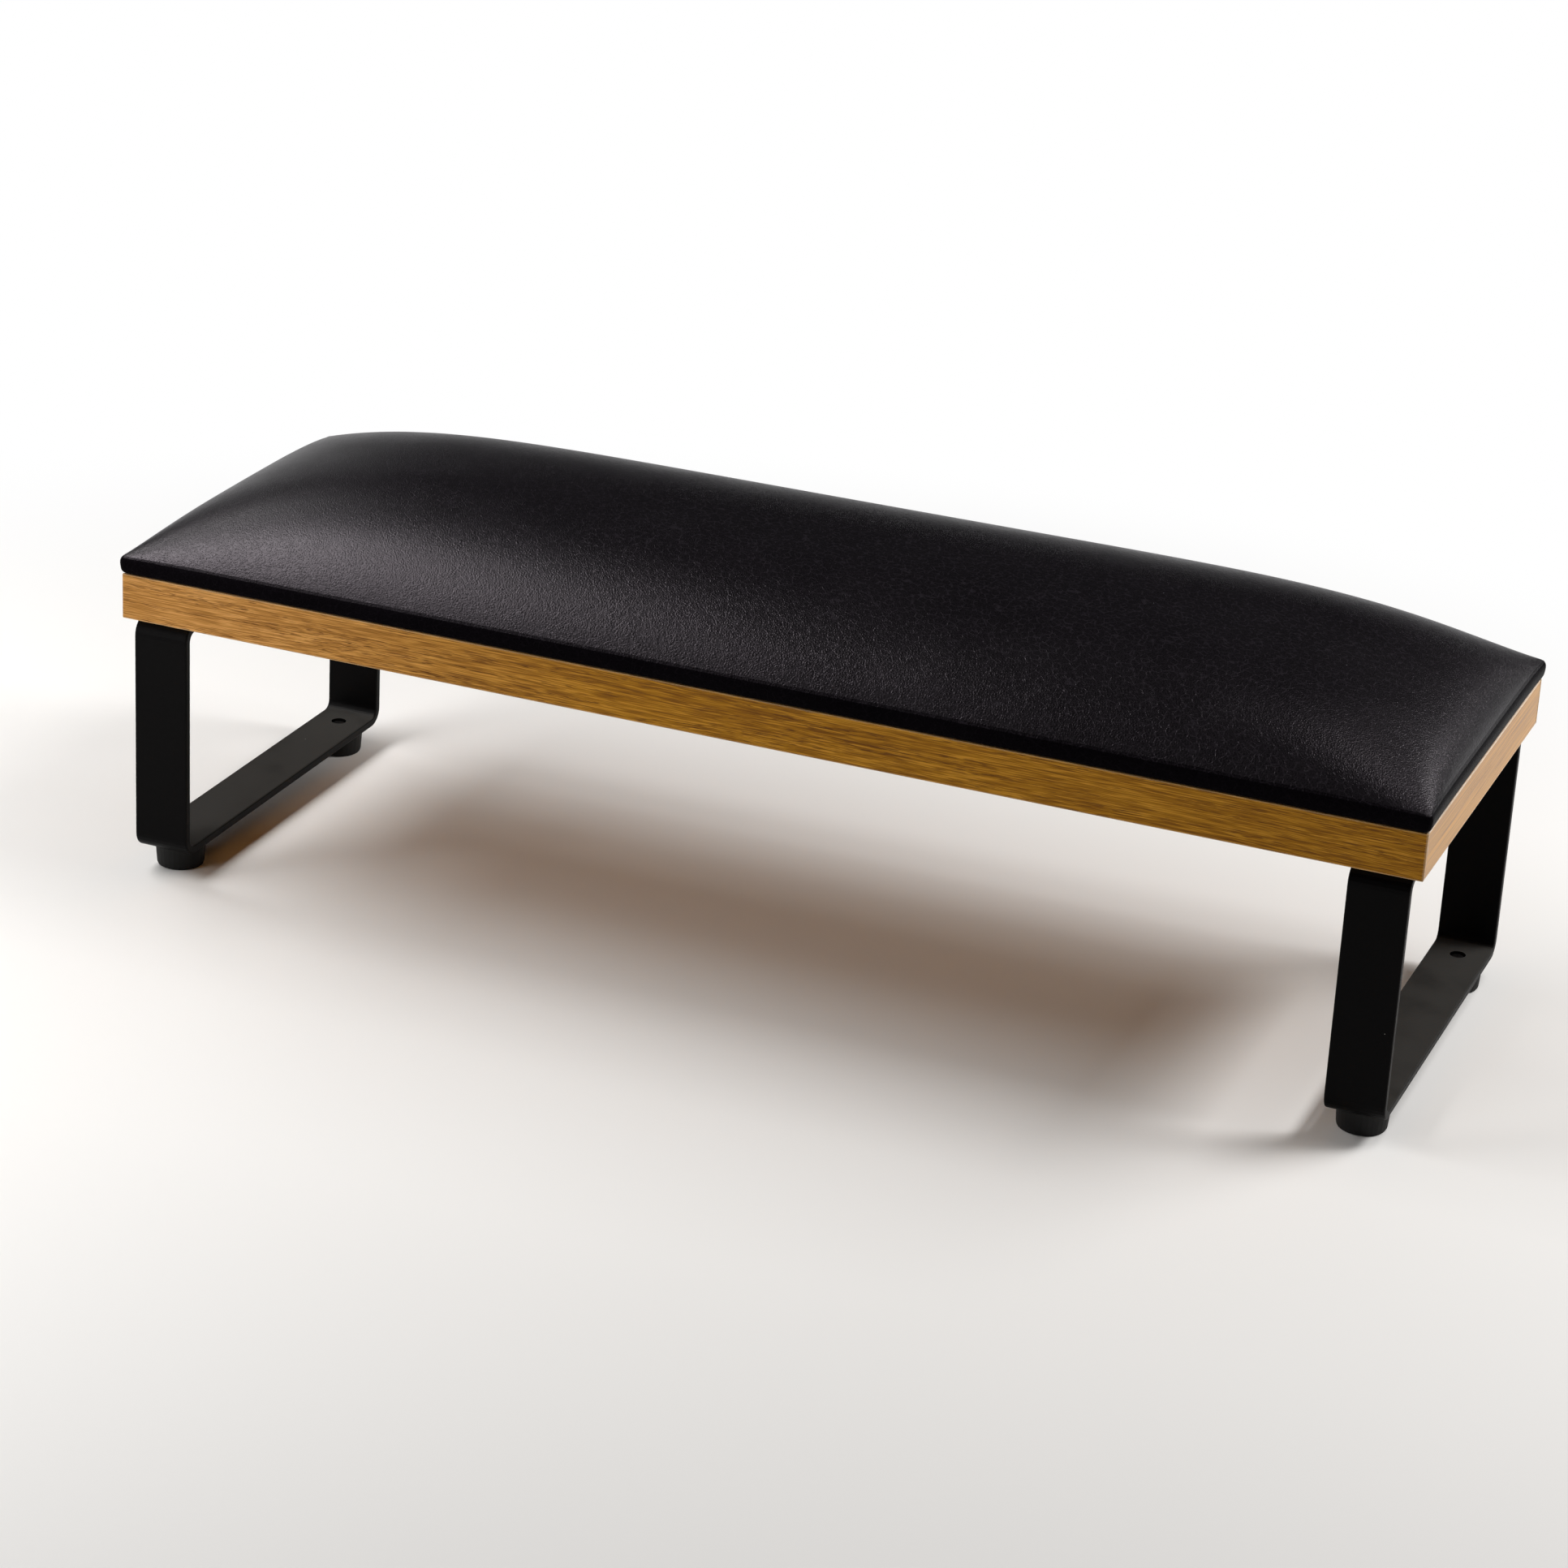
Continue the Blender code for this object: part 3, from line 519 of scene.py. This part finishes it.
def make_rubber():
    material, tree, shader = new_finish("moulded_black_rubber")
    place = object_place(tree)
    bloom = cloud(tree, place, *rubber_bloom)
    bloomed = fade(tree, bloom, *rubber_bloom_fade)
    colour = blend_colour(tree, bloomed, rubber_black, rubber_bloom_grey)
    specks = use_group(tree, dust_specks, rubber_specks)["Specks"]
    colour = blend_colour(tree, specks, colour, coat_dust_and_sheen)
    rough = scaled(tree, bloom, rubber_roughness_range, rubber_roughness)
    finish = {"Base Color": colour, "Roughness": rough, "Specular IOR Level": rubber_specular}
    feed(tree, shader, finish)
    bumped(tree, shader, cloud(tree, place, *rubber_grain), rubber_grain_depth)
    return material


blacked_steel = make_plating(
    "blackened_steel", blacked_dull, blacked_pale, blacked_bright, blacked_roughness
)
dress([f"foot_{corner}" for corner in foot_corners], make_rubber())
dress([f"foot_screw_{corner}" for corner in foot_corners], blacked_steel)

# Cushion base. A 3 mm hardboard panel, brown pressed wood fibre. The cover is drawn round it and
# stapled to its underside, and the screws from the board below bite into it.
fibre_light = (0.26, 0.15, 0.075)
fibre_dark = (0.12, 0.062, 0.028)
fibre_strands = (900.0, 5.0, 0.7)
fibre_clouds = (90.0, 3.0)
fibre_fade = (0.35, 0.65)
fibre_roughness = 0.71
fibre_roughness_range = 0.15
fibre_depth = 0.00008


def make_hardboard():
    material, tree, shader = new_finish("hardboard")
    place = object_place(tree)
    strands = cloud(tree, place, *fibre_strands)
    mixed = add_math(tree, "ADD", strands, cloud(tree, place, *fibre_clouds))
    mixed = add_math(tree, "MULTIPLY", mixed, 0.5)
    colour = blend_colour(tree, fade(tree, mixed, *fibre_fade), fibre_dark, fibre_light)
    rough = scaled(tree, strands, fibre_roughness_range, fibre_roughness)
    feed(tree, shader, {"Base Color": colour, "Roughness": rough})
    bumped(tree, shader, strands, fibre_depth)
    return material


dress(("cushion_board",), make_hardboard())

# Foam. A block of pale cream polyurethane foam, cut flat below and crowned above, glued to the
# base board. It fills the cover, so it only shows where the cover is taken off.
foam_low, foam_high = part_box("cushion_foam")
foam_edge_near = (0.0, 0.002, 0.005, 0.010, 0.016)
foam_step = 0.010
foam_cream = (0.78, 0.72, 0.55)
foam_shade = (0.60, 0.52, 0.36)
foam_cell_scale = 1100.0
foam_cell_share = 0.5
foam_cell_depth = 0.0004
foam_clouds = (45.0, 3.0)
foam_fade = (0.5, 0.95)
foam_roughness = 0.86
foam_roughness_range = 0.08

# The crown, which the cover shares. It rises from the base board's edge, fast along the sides and
# slowly at the ends, with soft hips on the corners' diagonals.
cushion_lean_share = 0.038
side_fullness = 3.42
side_spring = 0.0062
side_spring_share = 0.165
end_fullness = 6.05
end_spring = 0.0032
end_spring_share = 0.163
hip_sharpness = 0.28
next_to_nothing = 0.000001


def run_in(distance, half, fullness, spring, spring_share):
    """The crown's rise, as a share, at a distance in from the cushion's edge."""
    def rise(at):
        plump = 1.0 - (1.0 - at / half) ** fullness
        edge = 1.0 - math.exp(-at / spring)
        return plump * (1.0 - spring_share) + edge * spring_share
    return max(rise(min(max(distance, 0.0), half)) / rise(half), next_to_nothing)


def crown_share(x, y, half_length, half_width):
    """The crown's height as a share, at a place on the cushion. It leans up to the right."""
    along = run_in(half_length - abs(x), half_length, end_fullness, end_spring, end_spring_share)
    across = run_in(half_width - abs(y), half_width, side_fullness, side_spring, side_spring_share)
    both = along ** -hip_sharpness + across ** -hip_sharpness - 1.0
    return both ** (-1.0 / hip_sharpness) * (1.0 + cushion_lean_share * x / half_length)


def edge_places(half, near_places, step):
    """Grid places from one edge to the other: close together by the edges, then a step apart."""
    first = [-half + near for near in near_places]
    count = max(1, round((half - near_places[-1]) / step))
    inner = [first[-1] + (half - near_places[-1]) * i / count for i in range(1, count)]
    side = first + inner
    return side + [0.0] + [-place for place in reversed(side)]


def join_rows(form, rows):
    """Faces between the neighbouring rows of a grid of points, one strip for each two rows."""
    strips = []
    for a, b in zip(rows, rows[1:]):
        strips.append([form.faces.new((a[i], b[i], b[i + 1], a[i + 1])) for i in range(len(a) - 1)])
    return strips


def mesh_from(form, name):
    """Turn a finished form into a mesh with all its faces pointing the same way."""
    bmesh.ops.recalc_face_normals(form, faces=form.faces)
    mesh = bpy.data.meshes.new(name)
    form.to_mesh(mesh)
    form.free()
    return mesh


def make_foam_finish():
    material, tree, shader = new_finish("cut_foam")
    place = object_place(tree)
    values = {"Vector": place, "Scale": foam_cell_scale}
    cells = add_node(tree, "ShaderNodeTexVoronoi", values).outputs["Distance"]
    mixed = scaled(tree, cells, foam_cell_share, cloud(tree, place, *foam_clouds))
    colour = blend_colour(tree, fade(tree, mixed, *foam_fade), foam_cream, foam_shade)
    rough = scaled(tree, cells, foam_roughness_range, foam_roughness)
    feed(tree, shader, {"Base Color": colour, "Roughness": rough})
    bumped(tree, shader, cells, foam_cell_depth)
    return material


def make_foam():
    half_length = (foam_high.x - foam_low.x) / 2
    half_width = (foam_high.y - foam_low.y) / 2
    height = foam_high.z - foam_low.z
    form = bmesh.new()
    rows = []
    for x in edge_places(half_length, foam_edge_near, foam_step):
        row = []
        for y in edge_places(half_width, foam_edge_near, foam_step):
            rise = height * crown_share(x, y, half_length, half_width) / (1.0 + cushion_lean_share)
            row.append(form.verts.new((x, y, foam_low.z + rise)))
        rows.append(row)
    join_rows(form, rows)
    rim = [edge for edge in form.edges if edge.is_boundary]
    bmesh.ops.contextual_create(form, geom=rim)
    mesh = mesh_from(form, "foam_pad")
    mesh.materials.append(make_foam_finish())
    foam = put_in_scene("foam_pad", mesh)
    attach(foam, "root")
    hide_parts("cushion_foam")


make_foam()

# Cover. Black pebble-grained faux leather 0.7 mm thick, drawn over the foam and round the base
# board's edge, with its hem stapled below. The crown is swelled in cloth and stays taut.
cover_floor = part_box("cushion_cover")[0].z
leather_thickness = 0.0007
leather_step = 0.0045
leather_edge_near = (0.0, 0.0005, 0.0010, 0.0015, 0.0020, 0.0030, 0.0045, 0.0065, 0.0090, 0.0125)
crease_half_length = 0.2280
crease_half_width = 0.0758
crease_shift = (-0.0002, 0.0008)
crease_corner_flare = 0.0007
crease_corner_reach = 0.012
crown_height = 0.0282
crown_inset = 0.0007
crown_half_length = crease_half_length - crown_inset
crown_half_width = crease_half_width - crown_inset
crown_corner_radius = 0.0020
crown_roll_drop = 0.0012
crown_before_swelling_share = 0.985
cloth_step = 0.005
cloth_pressure = 4.0
cloth_frames = 20
cloth_reach_limit = 0.005
cloth_settle_share = 0.3
ripple_height = 0.00022
ripple_scales = (7.0, 24.0)
ripple_pattern = 1.0
base_half_length = 0.2272
base_half_width = 0.0750
band_height = 0.0056
band_corner_radius = 0.0025
band_foot_roll = 0.0009
band_lean_shares = (1.0, 0.9, 0.75, 0.5, 0.3, 0.0, 0.0)
hem_width = 0.022
hem_corner_radius = 0.001

# The leather's colours, shine and dust. The finishes are the crown's, the roll's at the crease and
# the band's below it, each with its name, its reflection, its folds' share of painted highlight and
# their shine. The roll's and the band's are shaded copies, their reflection cut low as painted shade.
crown_finish, roll_finish, band_finish = range(3)
leather_black = (0.0014, 0.0010, 0.0015)
# Painted highlight: the folds and pebble lines are painted paler, standing for the light they catch.
leather_painted_crease_highlight = (0.020, 0.0166, 0.0212)
leather_dust = (0.10, 0.10, 0.11)
leather_specks = {"Scale": 120.0, "Size": 0.025}
leather_clouds = (38.0, 4.0)
leather_cloud_share = 0.1
leather_roughness = 0.28
leather_roughness_range = 0.10
leather_fold_roughness = 0.33
leather_tint = (1.0, 0.88, 0.98)
leather_finishes = (
    ("black_faux_leather", 0.295, 0.6, 0.10),
    ("black_faux_leather_roll", 0.08, 0.6, 0.0),
    ("black_faux_leather_band", 0.006, 0.12, 0.0),
)

# The pressed grain. Pebbles and folds are nets of cells, whose widths are in shares of a cell.
grain_scale = 1800.0
grain_depth = 0.000048
grain_stir_scale = 300.0
grain_stir_reach = 0.0005
grain_turn = 0.45
grain_stretch = (0.80, 1.1, 1.1)
grain_fold_scale_share = 0.24
grain_fold_width = 0.10
grain_fold_depth_share = 0.6
grain_fold_breaks = (520.0, 1.0)
grain_fold_break_fade = (0.32, 0.58)
grain_pebble_scale_share = 0.72
grain_pebble_width = 0.42
grain_line_width = 0.13
grain_line_share = 0.45


def make_pebble_grain():
    """Pressed leather grain: small pebbles, and folds that wander between groups of them."""
    inputs = {"Place": "NodeSocketVector", "Scale": "NodeSocketFloat"}
    group, into, out_of = new_group("pebble_grain", inputs, ("Height", "Crease"))
    values = {"Vector": into["Place"], "Scale": grain_stir_scale}
    stir = add_node(group, "ShaderNodeTexNoise", values).outputs["Color"]
    values = {0: stir, 1: (0.5, 0.5, 0.5)}
    stir = add_node(group, "ShaderNodeVectorMath", values, operation="SUBTRACT").outputs[0]
    stir = stretched(group, stir, (grain_stir_reach, grain_stir_reach, grain_stir_reach))
    place = add_node(group, "ShaderNodeVectorMath", {0: into["Place"], 1: stir}).outputs[0]
    values = {"Vector": place, "Angle": grain_turn}
    place = add_node(group, "ShaderNodeVectorRotate", values, rotation_type="Z_AXIS").outputs[0]
    place = stretched(group, place, grain_stretch)
    nets = []
    for share in (grain_fold_scale_share, grain_pebble_scale_share):
        values = {"Vector": place, "Scale": add_math(group, "MULTIPLY", into["Scale"], share)}
        net = add_node(group, "ShaderNodeTexVoronoi", values, feature="DISTANCE_TO_EDGE")
        nets.append(net.outputs[0])
    folds = add_math(group, "SUBTRACT", 1.0, fade(group, nets[0], 0.0, grain_fold_width))
    breaks = fade(group, cloud(group, into["Place"], *grain_fold_breaks), *grain_fold_break_fade)
    folds = add_math(group, "MULTIPLY", folds, breaks)
    pebbles = fade(group, nets[1], 0.0, grain_pebble_width)
    lines = add_math(group, "SUBTRACT", 1.0, fade(group, nets[1], 0.0, grain_line_width))
    crease = add_math(group, "MULTIPLY", lines, grain_line_share)
    crease = add_math(group, "MAXIMUM", folds, crease)
    drop = add_math(group, "MULTIPLY", folds, grain_fold_depth_share)
    height = add_math(group, "SUBTRACT", pebbles, drop)
    feed(group, out_of, {"Height": height, "Crease": crease})
    return group


pebble_grain = make_pebble_grain()


def make_leather(name, specular, crease_highlight_share, shine):
    """The cover's faux leather, glossy on the crown. The roll's and the band's copies reflect far less,
    as painted shade.
    """
    material, tree, shader = new_finish(name)
    place = object_place(tree)
    grain = use_group(tree, pebble_grain, {"Place": place, "Scale": grain_scale})
    clouds = cloud(tree, place, *leather_clouds)
    # Painted highlight on the creases, plus random cloudy tone.
    lift = add_math(tree, "MULTIPLY", grain["Crease"], crease_highlight_share)
    lift = scaled(tree, clouds, leather_cloud_share, lift)
    colour = blend_colour(tree, lift, leather_black, leather_painted_crease_highlight)
    specks = use_group(tree, dust_specks, leather_specks)["Specks"]
    colour = blend_colour(tree, specks, colour, leather_dust)
    rough = scaled(tree, clouds, leather_roughness_range, leather_roughness)
    finish = {
        "Base Color": colour,
        "Roughness": rough,
        "Specular IOR Level": specular,
        "Specular Tint": (*leather_tint, 1.0),
    }
    if shine > 0:
        finish["Coat Weight"] = add_math(tree, "MULTIPLY", grain["Crease"], shine)
        finish["Coat Roughness"] = leather_fold_roughness
    feed(tree, shader, finish)
    bumped(tree, shader, grain["Height"], grain_depth)
    return material


def swell_crown():
    """How far cloth over a slightly low crown moves under pressure, on a coarse even grid."""
    columns = round(2 * crown_half_length / cloth_step)
    rows = round(2 * crown_half_width / cloth_step)
    size = (columns + 1, rows + 1)
    rest = []
    for i in range(columns + 1):
        for j in range(rows + 1):
            x = (2 * i / columns - 1) * crown_half_length
            y = (2 * j / rows - 1) * crown_half_width
            share = crown_share(x, y, crown_half_length, crown_half_width)
            rest.append(Vector((x, y, crown_height * crown_before_swelling_share * share)))
    faces = []
    for i in range(columns):
        for j in range(rows):
            a = i * size[1] + j
            faces.append((a, a + size[1], a + size[1] + 1, a + 1))
    mesh = bpy.data.meshes.new("crown_cloth")
    mesh.from_pydata(rest, [], faces)
    sheet = put_in_scene("crown_cloth", mesh)
    held = [n for n in range(len(rest)) if n // size[1] in (0, columns) or n % size[1] in (0, rows)]
    sheet.vertex_groups.new(name="held_edge").add(held, 1.0, "REPLACE")
    cloth = sheet.modifiers.new("swelling", "CLOTH")
    cloth.settings.vertex_group_mass = "held_edge"
    cloth.settings.use_pressure = True
    cloth.settings.uniform_pressure_force = cloth_pressure
    cloth.settings.effector_weights.gravity = 0.0
    cloth.collision_settings.use_collision = False
    for number in range(1, cloth_frames + 1):
        bpy.context.scene.frame_set(number)
    swelled = sheet.evaluated_get(bpy.context.evaluated_depsgraph_get()).data
    moves = [Vector(new.co) - old for new, old in zip(swelled.vertices, rest)]
    moves = [move * min(1.0, cloth_reach_limit / max(move.length, next_to_nothing)) for move in moves]
    moves = [move * cloth_settle_share for move in moves]
    bpy.context.scene.frame_set(1)
    bpy.data.objects.remove(sheet)
    bpy.data.meshes.remove(mesh)
    return size, moves


def move_at(x, y, size, moves):
    """The cloth's movement at a place, read between the coarse grid's four nearest points."""
    across_x = (x / crown_half_length + 1) / 2 * (size[0] - 1)
    across_y = (y / crown_half_width + 1) / 2 * (size[1] - 1)
    i = min(max(int(across_x), 0), size[0] - 2)
    j = min(max(int(across_y), 0), size[1] - 2)
    over_x = min(max(across_x - i, 0.0), 1.0)
    over_y = min(max(across_y - j, 0.0), 1.0)
    near = moves[i * size[1] + j].lerp(moves[(i + 1) * size[1] + j], over_x)
    far = moves[i * size[1] + j + 1].lerp(moves[(i + 1) * size[1] + j + 1], over_x)
    return near.lerp(far, over_y)


def round_corner(x, y):
    """Move a place in the square corner's zone onto the rounded corner's rings."""
    over_x = abs(x) - (crown_half_length - crown_corner_radius)
    over_y = abs(y) - (crown_half_width - crown_corner_radius)
    if over_x <= 0 or over_y <= 0:
        return x, y
    shrink = max(over_x, over_y) / math.hypot(over_x, over_y)
    x = math.copysign(crown_half_length - crown_corner_radius + over_x * shrink, x)
    y = math.copysign(crown_half_width - crown_corner_radius + over_y * shrink, y)
    return x, y


def corner_flare(x, y):
    """How far the cover's drawn-out corners push a place outward, along the length and the width."""
    gap = crown_half_length - abs(x) + crown_half_width - abs(y)
    push = crease_corner_flare * math.exp(-gap / crease_corner_reach)
    return math.copysign(push, x), math.copysign(push, y)


def lay_crown(form, crease_z):
    """The crown's rows of points, swelled and rippled, and where each one lies on the flat."""
    size, moves = swell_crown()
    middle = moves[size[0] // 2 * size[1] + size[1] // 2].z
    middle += crown_height * crown_before_swelling_share
    flats = {}
    rows = []
    for x in edge_places(crown_half_length, leather_edge_near, leather_step):
        row = []
        for y in edge_places(crown_half_width, leather_edge_near, leather_step):
            rise = crown_height * crown_before_swelling_share
            rise *= crown_share(x, y, crown_half_length, crown_half_width)
            move = move_at(x, y, size, moves)
            height = (rise + move.z) * crown_height / middle
            fade_in = min(1.0, height / (crown_height / 2))
            wave = noise.noise(Vector((x * ripple_scales[0], y * ripple_scales[1], ripple_pattern)))
            height += ripple_height * fade_in * wave
            flat_x, flat_y = round_corner(x, y)
            flare_x, flare_y = corner_flare(x, y)
            place_x = flat_x + move.x + crease_shift[0] + flare_x
            place_y = flat_y + move.y + crease_shift[1] + flare_y
            vert = form.verts.new((place_x, place_y, crease_z + height))
            flats[vert] = Vector((flat_x, flat_y))
            row.append(vert)
        rows.append(row)
    return rows, flats


def rim_in_order(rows):
    """The crown grid's outer points, in order round it."""
    rim = [row[0] for row in rows]
    rim += rows[-1][1:]
    rim += [row[-1] for row in reversed(rows[:-1])]
    rim += list(reversed(rows[0][1:-1]))
    return rim


def band_rings(crease_z):
    """The rings down the band, round its foot and in along the hem, each with its inset, its height
    and its corner radius."""
    top = crease_z - crown_roll_drop
    foot = cover_floor + band_foot_roll
    return (
        (0.0, top, band_corner_radius),
        (0.0, (top + foot) / 2, band_corner_radius),
        (0.0, foot, band_corner_radius),
        (band_foot_roll / 4, cover_floor + band_foot_roll / 4, band_corner_radius),
        (band_foot_roll, cover_floor, band_corner_radius - band_foot_roll),
        (2 * band_foot_roll, cover_floor, hem_corner_radius),
        (hem_width, cover_floor, hem_corner_radius),
    )


def draw_band(form, rows, flats, crease_z):
    """Carry the cover on from the crown's rim, one ring of points after another. Each ring lies its
    share of the way out from the base board's outline to the crease's."""
    rim = rim_in_order(rows)
    base_half = Vector((base_half_length, base_half_width))
    crease_half = Vector((crease_half_length, crease_half_width))
    crown_run = Vector((crown_half_length - crown_corner_radius, crown_half_width - crown_corner_radius))
    above = rim
    for share, (inset, height, radius) in zip(band_lean_shares, band_rings(crease_z)):
        run = base_half.lerp(crease_half, share) - Vector((inset + radius, inset + radius))
        ring = []
        for vert in rim:
            flat = flats[vert]
            along = Vector((max(-crown_run.x, min(crown_run.x, flat.x)), 0.0))
            along.y = max(-crown_run.y, min(crown_run.y, flat.y))
            outward = (flat - along).normalized()
            flare = Vector(corner_flare(flat.x, flat.y))
            place = Vector((along.x * run.x / crown_run.x, along.y * run.y / crown_run.y))
            place += outward * radius + (Vector(crease_shift) + flare) * share
            ring.append(form.verts.new((place.x, place.y, height)))
        for i in range(len(ring)):
            face = form.faces.new((above[i - 1], above[i], ring[i], ring[i - 1]))
            face.material_index = band_finish
        above = ring


def make_cover():
    crease_z = cover_floor + band_height
    form = bmesh.new()
    rows, flats = lay_crown(form, crease_z)
    strips = join_rows(form, rows)
    for n, strip in enumerate(strips):
        for i, face in enumerate(strip):
            by_crease = n in (0, len(strips) - 1) or i in (0, len(strip) - 1)
            face.material_index = roll_finish if by_crease else crown_finish
    draw_band(form, rows, flats, crease_z)
    mesh = mesh_from(form, "leather_cover")
    mesh.shade_smooth()
    for finish in leather_finishes:
        mesh.materials.append(make_leather(*finish))
    cover = put_in_scene("leather_cover", mesh)
    fine = cover.modifiers.new("subdivision", "SUBSURF")
    fine.levels = 1
    fine.render_levels = 1
    wall = cover.modifiers.new("thickness", "SOLIDIFY")
    wall.thickness = leather_thickness
    wall.offset = -1.0
    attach(cover, "root")
    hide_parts("cushion_cover")


make_cover()

# Staples. Flat galvanised wire, shot through the hem into the base board so that each crown lies
# sunk in the leather.
staple_count = 14

dress([f"staple_{number:02d}" for number in range(1, staple_count + 1)], zinc_plating)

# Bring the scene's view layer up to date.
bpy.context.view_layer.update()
